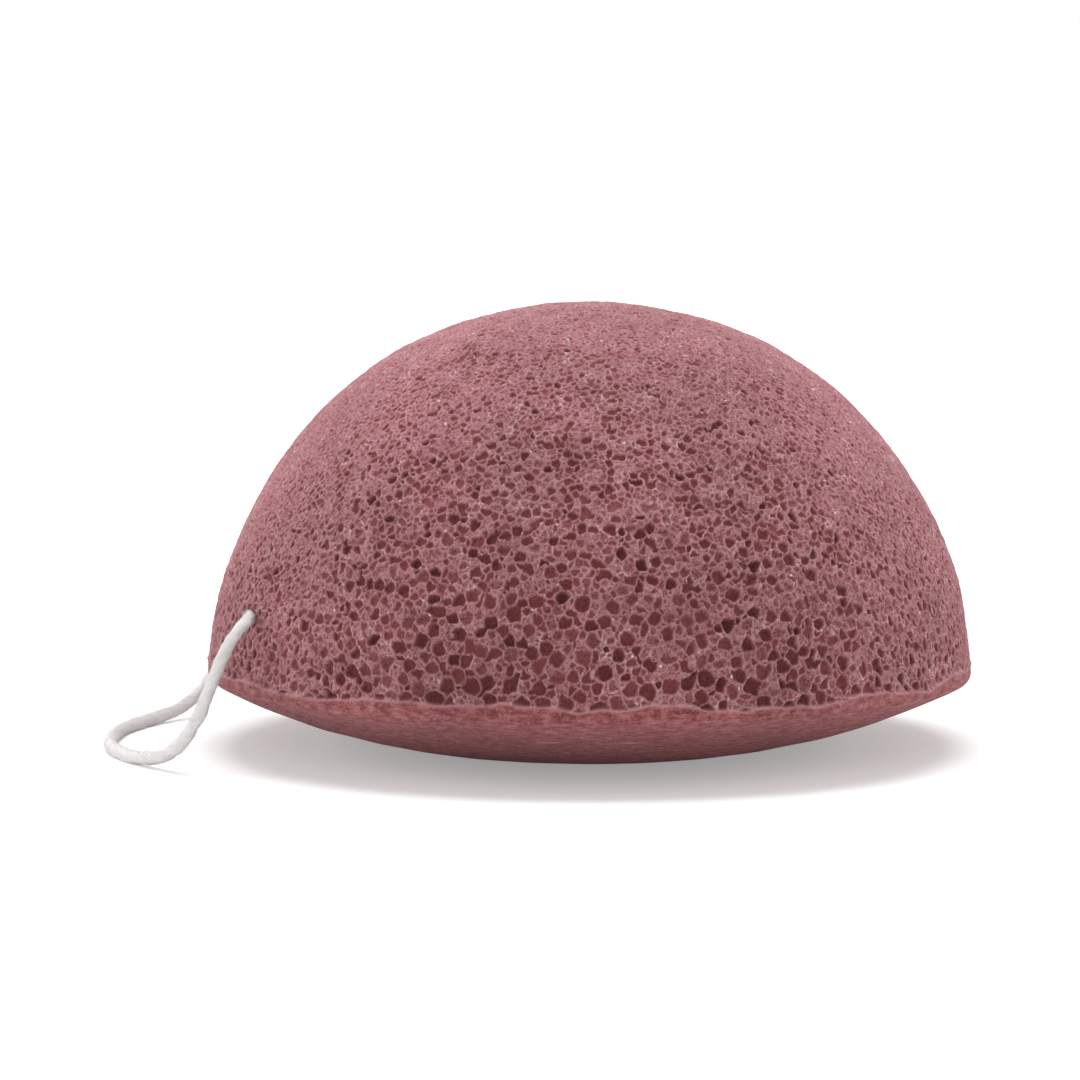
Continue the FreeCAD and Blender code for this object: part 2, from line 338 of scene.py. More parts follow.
# route of the loop in metres: its two mouths in the foam and its bends, each as the distance
# out from the tunnel, the distance past the mouth and the share of the mouth's height
frontMouth = (-0.03448192, -0.01818214, 0.0156)
backMouth = (-0.03448192, 0.01818214, 0.0156)
frontBends = [
    (0.0, 0.0032, 1.0),
    (0.0016, 0.0050, 0.89),
    (0.0034, 0.0054, 0.62),
    (0.0052, 0.0044, 0.31),
    (0.0080, 0.0018, 0.06),
    (0.0118, -0.0028, 0.0),
    (0.0148, -0.0092, 0.0),
    (0.0158, -0.0162, 0.0),
]
backBends = [
    (0.0, 0.0034, 1.0),
    (0.0017, 0.0052, 0.88),
    (0.0037, 0.0054, 0.61),
    (0.0059, 0.0042, 0.30),
    (0.0090, 0.0011, 0.05),
    (0.0125, -0.0042, 0.0),
    (0.0151, -0.0108, 0.0),
]
tunnelLine = np.array([frontMouth[0], 0.0, frontMouth[2]])
knotHalf = -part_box("string_front_run")[1][1]  # where the runs end in the knot
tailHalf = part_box("string_knot")[1][1]


def routePlace(bend, mouth):
    # a bend in metres: out from the tunnel, past its mouth, and up from the string's own radius
    out, past, liftShare = bend
    radius = cotton["diameter"] / 2
    along = math.copysign(abs(mouth[1]) + past, mouth[1])
    return (mouth[0] - out, along, radius + liftShare * (mouth[2] - radius))


def stringRoute():
    # from the knot out of the front mouth, round the loop and in at the back mouth to the knot
    route = [(frontMouth[0], -knotHalf, frontMouth[2]), frontMouth]
    route += [routePlace(bend, frontMouth) for bend in frontBends]
    route += [routePlace(bend, backMouth) for bend in reversed(backBends)]
    return route + [backMouth, (backMouth[0], knotHalf, backMouth[2])]


def splinePoints(controls, step):
    # places read from one spline along the route, evenly spaced, and their distance along it
    curve = bpy.data.curves.new("routeLine", "CURVE")
    curve.dimensions = "3D"
    spline = curve.splines.new("NURBS")
    spline.points.add(len(controls) - 1)
    spline.points.foreach_set("co", np.array([(*place, 1) for place in controls]).ravel())
    spline.order_u = 3
    spline.use_endpoint_u = True
    spline.resolution_u = 24
    holder = bpy.data.objects.new("routeLine", curve)
    line = bpy.data.meshes.new_from_object(holder)
    places = np.zeros(len(line.vertices) * 3)
    line.vertices.foreach_get("co", places)
    places = places.reshape(-1, 3)
    bpy.data.objects.remove(holder)
    bpy.data.meshes.remove(line)
    lengths = np.append(0, np.cumsum(np.linalg.norm(np.diff(places, axis=0), axis=1)))
    even = np.linspace(0, lengths[-1], int(lengths[-1] / step))
    return np.stack([np.interp(even, lengths, places[:, axis]) for axis in range(3)], axis=1), even


def pathFrames(places, reference):
    # along the path, and two directions square to it of which one leans to the reference
    along = np.gradient(places, axis=0)
    along /= np.linalg.norm(along, axis=1, keepdims=True)
    first = reference - (along * reference).sum(axis=1, keepdims=True) * along
    first /= np.linalg.norm(first, axis=1, keepdims=True)
    return along, first, np.cross(along, first)


def yarnTube(places, distances, reference, girth, seed):
    # the outline of three round plies that lie in each other, carried along the path, turned
    # once in each pitch, thick and thin by turns, with strands of fibre that stand out along the turn
    sides = cotton["sides"]
    first, second = pathFrames(places, reference)[1:]
    turn = np.linspace(0, 2 * math.pi, sides, endpoint=False)[None, :]
    lie = turn - 2 * math.pi * distances[:, None] / cotton["plyPitch"]
    away = (lie + math.pi / 3) % (2 * math.pi / 3) - math.pi / 3
    offset = cotton["plyOffset"]
    ply = cotton["diameter"] / 2 - offset
    radius = offset * np.cos(away) + np.sqrt(ply**2 - (offset * np.sin(away)) ** 2)
    lumps = waveNoise(distances[:, None] * np.ones(3), cotton["lumpLength"], cotton["lumpWaves"], seed)
    radius *= (girth + cotton["thickThin"] * np.clip(lumps, *cotton["lumpLimits"]))[:, None]
    fibreLie = np.stack([distances[:, None] / mm + 0 * lie, np.cos(lie), np.sin(lie)], axis=-1).reshape(-1, 3)
    strand = fibreLie * np.array(cotton["strandScale"])
    long, short = cotton["strandLengths"]
    relief = waveNoise(strand, long, cotton["strandWaves"], seed + 20)
    relief += waveNoise(strand, short, cotton["strandWaves"], seed + 21)
    radius += cotton["fibreRelief"] * np.clip(relief, *cotton["strandLimits"]).reshape(lie.shape)
    around = np.cos(turn)[..., None] * first[:, None] + np.sin(turn)[..., None] * second[:, None]
    tube = places[:, None] + radius[..., None] * around
    tube[..., 2] = np.maximum(tube[..., 2], 0)  # the soft yarn lies flat where it meets the ground
    index = np.arange(len(places) * sides).reshape(-1, sides)
    following = np.roll(index, -1, axis=1)
    walls = np.stack([index[:-1], following[:-1], following[1:], index[1:]], axis=-1).reshape(-1, 4)
    caps = np.stack([index[0, ::-1], index[-1]])
    return tube.reshape(-1, 3), walls, caps, fibreLie


def yarnFuzz(places, reference, seed):
    # loose fibres: thin three-sided tapers that leave the yarn's side and curl back along it
    rng = np.random.default_rng(seed)
    count = cotton["fuzzCount"]
    rings = cotton["fuzzRings"]
    along, first, second = pathFrames(places, reference)
    root = rng.integers(2, len(places) - 2, count)
    turn = rng.uniform(0, 2 * math.pi, (count, 1))
    outward = np.cos(turn) * first[root] + np.sin(turn) * second[root]
    sideways = np.cross(along[root], outward)
    lean, skew, curl, roll = rng.uniform(-1, 1, (4, count, 1))
    length = rng.uniform(*cotton["fuzzLength"], (count, 1, 1))
    share = np.linspace(0, 1, rings)[None, :, None]
    startOut, startAlong, startAside = cotton["fuzzStart"]
    bendIn, bendAlong, bendAside = cotton["fuzzBend"]
    start = outward * startOut + along[root] * lean * startAlong + sideways * skew * startAside
    end = along[root] * curl * bendAlong + sideways * roll * bendAside - outward * bendIn
    line = (places[root] + outward * cotton["diameter"] * cotton["fuzzRoot"])[:, None]
    line = line + length * (start[:, None] * share + end[:, None] * share**2)
    corner = np.arange(3)[:, None] * 2 * math.pi / 3
    across = np.cos(corner) * sideways[:, None] + np.sin(corner) * along[root][:, None]
    taper = (cotton["fuzzTaper"] - share)[..., None]
    fibres = line[:, :, None] + cotton["fuzzRadius"] * taper * across[:, None]
    fibres[..., 2] = np.maximum(fibres[..., 2], cotton["fuzzLift"])  # they lie on the ground, not in it
    index = np.arange(count * rings * 3).reshape(count, rings, 3)
    following = np.roll(index, -1, axis=2)
    walls = np.stack([index[:, :-1], following[:, :-1], following[:, 1:], index[:, 1:]], axis=-1)
    caps = np.concatenate([index[:, 0, ::-1], index[:, -1]])
    return fibres.reshape(-1, 3), walls.reshape(-1, 4), caps


def cottonMaterial():
    # off-white cotton: fine fibres along the twist, as colour and as bump, under a soft bloom
    material, tree, shader = startMaterial("plyCotton")
    lie = readAttribute(tree, "fibreLie", "Vector")
    fibres = addNoise(tree, addStretch(tree, lie, cotton["fibreScale"]), 1.6, 5.0, 0.68)
    cloud = addNoise(tree, objectPlace(tree), cotton["cloudScale"], 3.0)
    fibreShare, cloudShare = cotton["toneShares"]
    tone = addMath(tree, "MULTIPLY_ADD", fibres, fibreShare, addMath(tree, "MULTIPLY", cloud, cloudShare))
    stops = [(place, scaled(cotton["colour"], share)) for place, share in cotton["tones"]]
    bump = addNode(tree, "ShaderNodeBump", {"Height": tone, "Strength": 0.9, "Distance": 0.0004})
    finish = {
        "Base Color": addRamp(tree, tone, stops),
        "Normal": bump.outputs["Normal"],
        "Roughness": 0.88,
        "Specular IOR Level": 0.25,
        "Subsurface Weight": 0.5,
        "Subsurface Radius": (0.0009, 0.0007, 0.0007),
        "Subsurface Scale": 1.0,
        "Sheen Weight": 0.6,
    }
    setInputs(tree, shader, finish)
    return material


cottonFinish = cottonMaterial()


def buildString():
    # yarn along the whole route, thinner near the foam's two mouths, with loose fibres
    places, distances = splinePoints(stringRoute(), cotton["ringStep"])
    across = np.array(cotton["across"])
    held = np.min([np.linalg.norm(places - mouth, axis=1) for mouth in (frontMouth, backMouth)], axis=0)
    thin, full = cotton["girths"]
    girth = thin + (full - thin) * smoothStep(0, cotton["heldLength"], held)
    tube, walls, caps, fibreLie = yarnTube(places, distances, across, girth, 5)
    fuzz, fuzzWalls, fuzzCaps = yarnFuzz(places, across, 6)
    faces = [walls, caps, fuzzWalls + len(tube), fuzzCaps + len(tube)]
    piece = addMesh("cottonString", np.concatenate([tube, fuzz]), faces, cottonFinish)
    addAttribute(piece, "fibreLie", np.concatenate([fibreLie, fuzz / mm]))
    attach(piece, "string")
    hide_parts("string_loop", "string_front_run", "string_back_run")
    print("string built,", round(distances[-1] / mm, 1), "mm")
    return piece, places, float(distances[-1])


knotForm = dict(
    wraps=3,
    helixPlaces=25,
    tailFrom=1.3,  # share of the knot's half length from which a tail runs straight
    coreRings=24,
)


def buildKnot():
    # a straight core with wraps, a helix one diameter out whose ends run on as cut tails
    wide = cotton["diameter"]
    wraps = knotForm["wraps"]
    turn = np.linspace(-wraps, wraps, knotForm["helixPlaces"]) * math.pi
    reach = knotHalf - wide / 2
    rise = turn / (wraps * math.pi) * reach
    helix = np.stack([np.sin(turn) * wide, rise, np.cos(turn) * wide], axis=1)
    flat = np.array([1, 0, 1])
    tailStart = np.array([0, knotHalf * knotForm["tailFrom"], 0])
    tailEnd = np.array([0, tailHalf, 0])
    firstTail = helix[0] * flat - np.stack([tailEnd, tailStart])
    lastTail = helix[-1] * flat + np.stack([tailStart, tailEnd])
    route = np.concatenate([firstTail, helix, lastTail]) + tunnelLine
    places, distances = splinePoints(route, cotton["ringStep"])
    outward = (places - tunnelLine) * flat
    wrap, wrapWalls, wrapCaps, wrapLie = yarnTube(places, distances, outward, np.ones(len(places)), 7)
    span = np.linspace(-knotHalf, knotHalf, knotForm["coreRings"])
    coreLine = tunnelLine + span[:, None] * np.array([0, 1, 0])
    sideways = np.array([1.0, 0, 0])
    core, coreWalls, coreCaps, coreLie = yarnTube(coreLine, span + knotHalf, sideways, np.ones(len(span)), 8)
    faces = [wrapWalls, wrapCaps, coreWalls + len(wrap), coreCaps + len(wrap)]
    piece = addMesh("cottonKnot", np.concatenate([wrap, core]), faces, cottonFinish)
    addAttribute(piece, "fibreLie", np.concatenate([wrapLie, coreLie]))
    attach(piece, "string")
    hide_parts("string_knot")
    print("knot built")
    return piece


string, stringPlaces, stringLength = buildString()
knot = buildKnot()

# the sponge: a half ball of open foam cells over a smooth, bulged skin; lengths in mm
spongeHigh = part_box("sponge_body")[1]
foam = dict(
    crown=spongeHigh[2] / mm,
    rimRadius=spongeHigh[0] / mm,
    rimHeight=8.2,
    rimRounding=1.1,
    restRadius=10.0,
    shoulder=0.3,  # the dome is this much fuller between crown and rim
    shoulderSpan=(22, 10),  # distance of its middle from the crown, and its half width
    swellHeights=(0.07, 0.03),  # slow and quick unevenness of the whole form
    swellLengths=(17.0, 5.0),
    swellWaves=14,
    swellDip=1.2,
    swellLimits=(-0.5, 0.05),
    flatBelow=2.5,  # the unevenness fades out below this height
    mouthSpan=(0.4, 0.8),  # distance from the tunnel's axis over which the foam rises from a mouth
    mouthDepth=0.4,
    # painted shade round the tunnel's two mouths
    mouthShade=0.4,
)
cells = dict(
    gridSide=880,  # faces along each side of the dome's square grid
    gridGap=0.075,  # about the closest spacing of the grid
    sizes=[  # radius and wanted count
        (1.05, 14),
        (0.88, 60),
        (0.74, 200),
        (0.61, 520),
        (0.49, 1250),
        (0.38, 3400),
        (0.29, 10000),
        (0.21, 24000),
    ],
    sizeJitter=(0.9, 1.1),
    largest=(0.34, 0.8, 1.25),  # radius at the crown, its gain down to the ground, and its power
    asideCut=0.24,  # the largest radius is this much less at the two sides
    asideSpan=(13, 35),
    density=(0.12, 1.2),  # share at the crown, and the power with which it grows downward
    openReach=9.0,  # free distance before any cell is thrown
    freeShare=0.92,  # share of its radius that a new cell needs free round its middle
    crowdShare=1.85,  # closest middles of cells thrown together, in radii
    clearShare=2.2,  # reach of a cell's claim on its surroundings, in radii
    throwRounds=12,
    throwBatch=700,
    spare=20,  # fewer missing cells than this are left out
    warps=[(0.14, 1.5), (0.05, 0.6)],  # sway and wavelength of the walls' bends
    warpWaves=9,
    groups=24,  # cells of like size are worked on together
    wallReach=0.7,  # reach of a cell's claim past its radius
    wallHalf=0.045,
    wallBlend=0.045,
    neighbours=3,  # cells beside its own that a vertex's wall is blended from
    merged=0.06,  # share of the walls that are open
    sizeSpan=(0.2, 0.75),
    # the painted shade of each cell's pit: more for large cells, varied at random, most for the deep holes
    shadeBase=0.29,
    shadeBySize=0.32,
    shadeByChance=0.50,
    holesFrom=0.96,  # cells whose random number is above this are deep holes, with the darkest painted shade
    shadeOfHoles=0.40,
    shadeLimits=(0.06, 1),
    depths=(0.36, 0.8),  # share of the radius, and its gain with the shade
    depthLimit=0.85,
    bowl=(0.42, 0.06),  # width of a cell's side, as a share of its radius and as a length
    sag=0.04,  # walls differ in height
    sagLength=1.3,
    sagLimit=0.14,
    crestHalf=0.065,
    crestLevel=(0.65, 0.4),  # paleness of the walls' crests, partly painted highlight, and how it varies
    crestLength=2.2,
    crestLimits=(0.1, 1),
    reliefWaves=12,
)
skinForm = dict(
    lipInset=0.75,
    lipWave=0.38,
    lipLengths=(13.0, 3.5),
    lipFine=0.35,  # share of the shorter waves
    lipWaves=7,
    lipBlend=0.12,
    lipHalf=0.17,
    lipHeight=0.16,
    ringSteps=(0.16, 0.3),  # spacing of the rings near the rim and further in
    nearRim=2,
    ringAhead=0.2,
    lastGap=0.5,
    narrowest=0.24,  # a ring's faces are halved in number below this width
    fewestFaces=96,
    streakShare=0.375,  # x and y count this much, so streaks are long round the rim
    scuffs=[(-4.2, 5.1), (3.7, 5.0)],  # x and z of two short pale scuffs on the front of the skin
    scuffHalf=(1.5, 0.11),
)
foamColours = dict(
    # painted highlight on patches of the crests
    paintedGleam=(0.72, 0.56, 0.59),
    # crest: pale foam, for the crests' paleness that is partly painted highlight, and for the real pale lip,
    # scuffs, flecks and skin grain
    crest=(0.53, 0.285, 0.312),
    wall=(0.245, 0.087, 0.095),
    # floor and deepShade are painted shade in the cells' pits
    floor=(0.180, 0.037, 0.036),
    deepShade=(0.085, 0.013, 0.012),
    # painted shade in tiny pinholes
    pinholeShade=(0.102, 0.021, 0.021),
    skin=(0.290, 0.073, 0.071),
    skinDark=(0.136, 0.031, 0.030),
    skinPale=(0.415, 0.166, 0.174),
    # painted glints
    paintedGlint=(0.76, 0.71, 0.74),
    sheen=(0.95, 0.50, 0.55),
)
foamScales = dict(
    grain=2600.0,
    cloud=95.0,
    wobble=1500.0,
    net=2400.0,
    paintedGleam=620.0,
    paleFlecks=4200.0,
    pinholes=1500.0,
    glintSpecks=700.0,
    streaks=1.8,
)


def tangentRadius(width, height, rounding):
    # radius of the arc that starts level and ends tangent to a small circle inside it
    return (width**2 + height**2 - rounding**2) / (2 * (height - rounding))


def meridian(distance):
    # radius, height and the normal's angle from straight up, for a distance from the crown along
    # four tangent stretches: dome arc, rim rounding, base arc and flat rest; then the distance of
    # the rim's outermost place and that of the middle of the rest
    rounding, rimHeight, rest = foam["rimRounding"], foam["rimHeight"], foam["restRadius"]
    rimMiddle = foam["rimRadius"] - rounding
    dome = tangentRadius(rimMiddle, foam["crown"] - rimHeight, rounding)
    base = tangentRadius(rimMiddle - rest, rimHeight, rounding)
    domeMiddle = foam["crown"] - dome
    domeEnd = math.atan2(rimMiddle, rimHeight - domeMiddle)
    rimEnd = math.atan2(rimMiddle - rest, rimHeight - base)
    firstEnd = dome * domeEnd
    secondEnd = firstEnd + rounding * (rimEnd - domeEnd)
    thirdEnd = secondEnd + base * (math.pi - rimEnd)
    spans = [distance < firstEnd, distance < secondEnd, distance < thirdEnd]
    angle = np.select(
        spans,
        [distance / dome, domeEnd + (distance - firstEnd) / rounding, rimEnd + (distance - secondEnd) / base],
        math.pi,
    )
    sine, cosine = np.sin(angle), np.cos(angle)
    radius = np.select(
        spans,
        [dome * sine, rimMiddle + rounding * sine, rest + base * sine],
        rest - (distance - thirdEnd),
    )
    height = np.select(
        spans,
        [domeMiddle + dome * cosine, rimHeight + rounding * cosine, base + base * cosine],
        0.0,
    )
    rimOut = firstEnd + rounding * (math.pi / 2 - domeEnd)
    return radius, height, angle, rimOut, thirdEnd + rest


domeLength, wholeLength = meridian(np.zeros(1))[3:]


def onBody(distance, turn):
    # places and outward normals of the plain form
    radius, height, angle = meridian(distance)[:3]
    places = np.stack([radius * np.cos(turn), radius * np.sin(turn), height], axis=-1)
    normals = np.stack([np.sin(angle) * np.cos(turn), np.sin(angle) * np.sin(turn), np.cos(angle)], axis=-1)
    return places, normals


def domeGrid():
    # a square grid wrapped on the dome: squares become circles, and lines across become arcs
    side = np.linspace(-1, 1, cells["gridSide"] + 1)
    across, along = np.meshgrid(side, side, indexing="ij")
    reach = np.maximum(np.abs(across), np.abs(along))
    wide = np.abs(across) >= np.abs(along)
    first = along / np.where(wide & (reach > 0), across, 1) * math.pi / 4 + math.pi * (across < 0)
    second = math.pi / 2 - across / np.where(~wide, along, 1) * math.pi / 4 + math.pi * (along < 0)
    return domeLength * reach, np.where(wide, first, second)


def nearCells(places, spots, reach):
    # for each cell, the grid's vertices in a square window round its middle, and their distances
    count = cells["gridSide"] + 1
    half = int(math.ceil(reach / cells["gridGap"]))
    window = np.arange(-half, half + 1)
    rows = spots[:, None] // count + window
    columns = spots[:, None] % count + window
    inside = ((rows >= 0) & (rows < count))[:, :, None] & ((columns >= 0) & (columns < count))[:, None, :]
    index = (rows[:, :, None] * count + columns[:, None, :])[inside]
    owner = np.broadcast_to(np.arange(len(spots))[:, None, None], inside.shape)[inside]
    gap = np.linalg.norm(places[index] - places[spots][owner], axis=1)
    keep = gap < reach
    return index[keep], owner[keep], gap[keep]


def throwCells(places, area, seed):
    # from the largest size down, cells are thrown at random on places that are still free; large
    # ones fall mostly low on the dome and away from its two sides
    rng = np.random.default_rng(seed)
    free = np.full(len(places), cells["openReach"])
    low = 1 - places[:, 2] / foam["crown"]
    aside = cells["asideCut"] * smoothStep(*cells["asideSpan"], np.abs(places[:, 0]))
    crownRadius, gain, power = cells["largest"]
    largest = crownRadius + gain * low**power - aside
    crownShare, growth = cells["density"]
    often = area * (crownShare + low**growth)
    spots, radii = [], []
    for radius, wanted in cells["sizes"]:
        likely = often * (radius < largest)
        for _ in range(cells["throwRounds"]):
            chance = np.cumsum(likely * (free > radius * cells["freeShare"]))
            drawn = rng.uniform(0, chance[-1], min(wanted, cells["throwBatch"]))
            thrown = np.unique(np.searchsorted(chance, drawn))
            rng.shuffle(thrown)
            gaps = np.linalg.norm(places[thrown][:, None] - places[thrown][None], axis=-1)
            crowded = np.triu(gaps < cells["crowdShare"] * radius, 1).any(axis=0)
            thrown = thrown[~crowded]
            index, _, gap = nearCells(places, thrown, cells["clearShare"] * radius)
            np.minimum.at(free, index, gap - radius)
            spots.append(thrown)
            radii.append(radius * rng.uniform(*cells["sizeJitter"], len(thrown)))
            wanted -= len(thrown)
            if wanted < cells["spare"]:
                break
    return np.concatenate(spots), np.concatenate(radii)


def bendPlaces(places, seed):
    # places moved by slow and quick waves, so that the walls between cells aren't straight
    bent = places.copy()
    for number, (sway, wavelength) in enumerate(cells["warps"]):
        firstSeed = seed + 3 * number
        waves = [waveNoise(places, wavelength, cells["warpWaves"], firstSeed + axis) for axis in range(3)]
        bent += sway * np.stack(waves, axis=1)
    return bent


def cellWalls(places, spots, radii, seed):
    # a power diagram of the cells, some of them joined with a neighbour: each vertex's cell, and
    # its distance from the nearest wall
    indices, owners, powers = [], [], []
    bent = bendPlaces(places, seed)
    for group in np.array_split(np.argsort(radii), cells["groups"]):
        index, owner, gap = nearCells(bent, spots[group], radii[group].max() + cells["wallReach"])
        indices.append(index)
        owners.append(group[owner])
        powers.append(gap**2 - radii[group][owner] ** 2)
    index, owner, power = (np.concatenate(parts) for parts in (indices, owners, powers))
    ranked = np.lexsort((power, index))
    index, owner, power = index[ranked], owner[ranked], power[ranked]
    starts = np.flatnonzero(np.diff(index, prepend=-1))
    counts = np.diff(np.append(starts, len(index)))

    pairs = np.stack([owner[starts[:-1]], owner[starts[:-1] + 1]], axis=1)
    pairs = np.unique(np.sort(pairs, axis=1), axis=0)
    opened = np.random.default_rng(seed).uniform(size=len(pairs)) < cells["merged"]
    joined = np.arange(len(spots))
    joined[pairs[opened, 1]] = pairs[opened, 0]

    middles = bent[spots]
    cell = np.zeros(len(places), np.int64)
    cell[index[starts]] = joined[owner[starts]]
    closeness = np.zeros(len(places))
    blend = cells["wallBlend"]
    for rank in range(1, cells["neighbours"] + 1):
        have = starts[counts > rank]
        apart = np.linalg.norm(middles[owner[have]] - middles[owner[have + rank]], axis=1)
        edge = (power[have + rank] - power[have]) / (2 * apart + 0.001)
        same = joined[owner[have]] == joined[owner[have + rank]]
        closeness[index[have]] += np.where(same, 0, np.exp(-edge / blend))
    return cell, np.maximum(-blend * np.log(closeness + 1e-9), 0)


def domeRelief(places):
    # depth of the foam's cells below the plain form, round bowls between walls of uneven height,
    # and the pits' painted shade and the crests' paleness, partly painted highlight, that the material reads
    side = cells["gridSide"] + 1
    grid = places.reshape(side, side, 3)
    area = np.linalg.norm(np.cross(np.gradient(grid, axis=0), np.gradient(grid, axis=1)), axis=-1).ravel()
    spots, radii = throwCells(places, area, 11)
    cell, wall = cellWalls(places, spots, radii, 41)
    print("foam has", len(spots), "cells")
    rng = np.random.default_rng(12)
    size = smoothStep(*cells["sizeSpan"], radii)
    kind = rng.uniform(size=len(spots))
    paintedShade = cells["shadeBase"] + cells["shadeBySize"] * size + cells["shadeByChance"] * (kind - 0.5)
    paintedShade = np.clip(paintedShade + cells["shadeOfHoles"] * (kind > cells["holesFrom"]), *cells["shadeLimits"])
    plainDepth, shadeDepth = cells["depths"]
    depth = np.minimum(radii * (plainDepth + shadeDepth * paintedShade), cells["depthLimit"])
    bowlShare, bowlStart = cells["bowl"]
    bowl = np.clip((wall - cells["wallHalf"]) / (bowlShare * radii[cell] + bowlStart), 0, 1)
    bowl = np.sqrt(1 - (1 - bowl) ** 2)
    sag = cells["sag"] * (1 + waveNoise(places, cells["sagLength"], cells["reliefWaves"], 13))
    sag = np.clip(sag, 0, cells["sagLimit"]) * (1 - bowl)
    level, sway = cells["crestLevel"]
    pale = level + sway * waveNoise(places, cells["crestLength"], cells["reliefWaves"], 14)
    crest = np.exp(-((wall / cells["crestHalf"]) ** 2)) * np.clip(pale, *cells["crestLimits"])
    return depth[cell] * bowl + sag, paintedShade[cell] * bowl, crest


def lipLine(turn):
    # where the skin's wavy upper edge lies, as a distance from the crown
    ring = np.stack([np.cos(turn), np.sin(turn), 0 * turn], axis=-1) * foam["rimRadius"]
    long, short = skinForm["lipLengths"]
    wave = waveNoise(ring, long, skinForm["lipWaves"], 21)
    wave += skinForm["lipFine"] * waveNoise(ring, short, skinForm["lipWaves"], 22)
    return domeLength - skinForm["lipInset"] + skinForm["lipWave"] * wave


def skinRings():
    # rings from the rim to the middle of the base, the faces in a ring halved where they get narrow
    count = 4 * cells["gridSide"]
    close, wide = skinForm["ringSteps"]
    lastGap = skinForm["lastGap"]
    rings = []
    distance = domeLength
    while distance < wholeLength - lastGap:
        radius = meridian(np.array([distance + skinForm["ringAhead"]]))[0][0]
        if 2 * math.pi * radius / count < skinForm["narrowest"] and count > skinForm["fewestFaces"]:
            count //= 2
        distance += close if distance < domeLength + skinForm["nearRim"] else wide
        rings.append((min(distance, wholeLength - lastGap / 2), count))
    return rings


def closeBelow(domeIndex):
    # faces from the dome grid's border to the middle of the base, ring by ring, with the distance
    # from the crown and the turn of each new vertex
    last = cells["gridSide"]
    ring = np.concatenate(
        [domeIndex[last, :last], domeIndex[last:0:-1, last], domeIndex[0, last:0:-1], domeIndex[:last, 0]]
    )
    faces, distances, turns = [], [], []
    total = domeIndex.size
    for ringDistance, count in skinRings():
        inner = total + np.arange(count)
        following = np.roll(inner, -1)
        if count == len(ring):
            faces.append(np.stack([ring, inner, following, np.roll(ring, -1)], axis=1))
        else:
            faces.append(np.stack([ring[::2], inner, following, np.roll(ring, -2)[::2], ring[1::2]], axis=1))
        distances.append(np.full(count, ringDistance))
        turns.append(-math.pi / 4 + 2 * math.pi * np.arange(count) / count)
        ring = inner
        total += count
    faces.append(np.stack([ring, np.full(len(ring), total), np.roll(ring, -1)], axis=1))
    return faces, np.concatenate([*distances, [wholeLength]]), np.concatenate([*turns, [0.0]])


def formSwell(places):
    # slow and quick unevenness of the form, none where the sponge rests
    slowHeight, quickHeight = foam["swellHeights"]
    slowLength, quickLength = foam["swellLengths"]
    swell = slowHeight * (waveNoise(places, slowLength, foam["swellWaves"], 31) - foam["swellDip"])
    swell = swell + quickHeight * waveNoise(places, quickLength, foam["swellWaves"], 32)
    swell *= smoothStep(0, foam["flatBelow"], places[:, 2])
    return np.clip(swell, *foam["swellLimits"])


def buildSponge():
    # the plain form moved along its normals: swells, a fuller shoulder and the skin's lip outward,
    # the cells above the lip and the two mouths of the tunnel inward
    distance, turn = domeGrid()
    domeIndex = np.arange(distance.size).reshape(distance.shape)
    rows, nextRows = domeIndex[:-1], domeIndex[1:]
    quads = np.stack([rows[:, :-1], nextRows[:, :-1], nextRows[:, 1:], rows[:, 1:]], axis=-1)
    distance, turn = distance.ravel(), turn.ravel()
    pit, paintedShade, crest = domeRelief(onBody(distance, turn)[0])
    baseFaces, baseDistance, baseTurn = closeBelow(domeIndex)
    distance = np.concatenate([distance, baseDistance])
    turn = np.concatenate([turn, baseTurn])
    places, normals = onBody(distance, turn)
    pit, paintedShade, crest = (np.append(values, np.zeros(len(baseTurn))) for values in (pit, paintedShade, crest))

    past = distance - lipLine(turn)
    skin = smoothStep(-skinForm["lipBlend"], skinForm["lipBlend"], past)
    lip = np.exp(-((past / skinForm["lipHalf"]) ** 2))
    axisGap = np.linalg.norm((places - tunnelLine / mm)[:, [0, 2]], axis=1)
    mouth = 1 - smoothStep(*foam["mouthSpan"], axisGap)
    middle, half = foam["shoulderSpan"]
    fuller = foam["shoulder"] * np.exp(-(((distance - middle) / half) ** 2))
    outward = formSwell(places) + fuller + skinForm["lipHeight"] * lip
    outward = outward - pit * (1 - skin) - foam["mouthDepth"] * mouth
    places = places + normals * outward[:, None]

    piece = addMesh("konjacFoam", places * mm, [quads.reshape(-1, 4), *baseFaces], foamMaterial())
    # painted shade of the pits, and of the foam round the tunnel's two mouths
    addAttribute(piece, "paintedShade", np.maximum(paintedShade * (1 - skin), foam["mouthShade"] * mouth))
    addAttribute(piece, "crest", crest * (1 - skin))
    addAttribute(piece, "skin", skin)
    addAttribute(piece, "lip", lip)
    streakShare = skinForm["streakShare"]
    streakLie = np.stack([streakShare * places[:, 0], streakShare * places[:, 1], distance], axis=1)
    addAttribute(piece, "streakLie", streakLie)
    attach(piece, "sponge")
    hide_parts("sponge_body")
    print("sponge built,", len(places), "vertices")


def addScuff(tree, place, streaks, across, height):
    # a thin level ellipse on the front half, ragged where the streaks are dark
    wide, thin = skinForm["scuffHalf"]
    shift = addVectorMath(tree, "SUBTRACT", place, (across * mm, 0, height * mm))["Vector"]
    shares = addVectorMath(tree, "MULTIPLY", shift, (1 / (wide * mm), 0, 1 / (thin * mm)))["Vector"]
    away = addVectorMath(tree, "LENGTH", shares)["Value"]
    front = addMath(tree, "LESS_THAN", addNode(tree, "ShaderNodeSeparateXYZ", {0: place}).outputs["Y"], 0.0)
    mask = addMath(tree, "MULTIPLY", addRange(tree, away, 0.5, 1.1, 0.9, 0.0), front)
    return addMath(tree, "MULTIPLY", mask, addRange(tree, streaks, 0.38, 0.52))


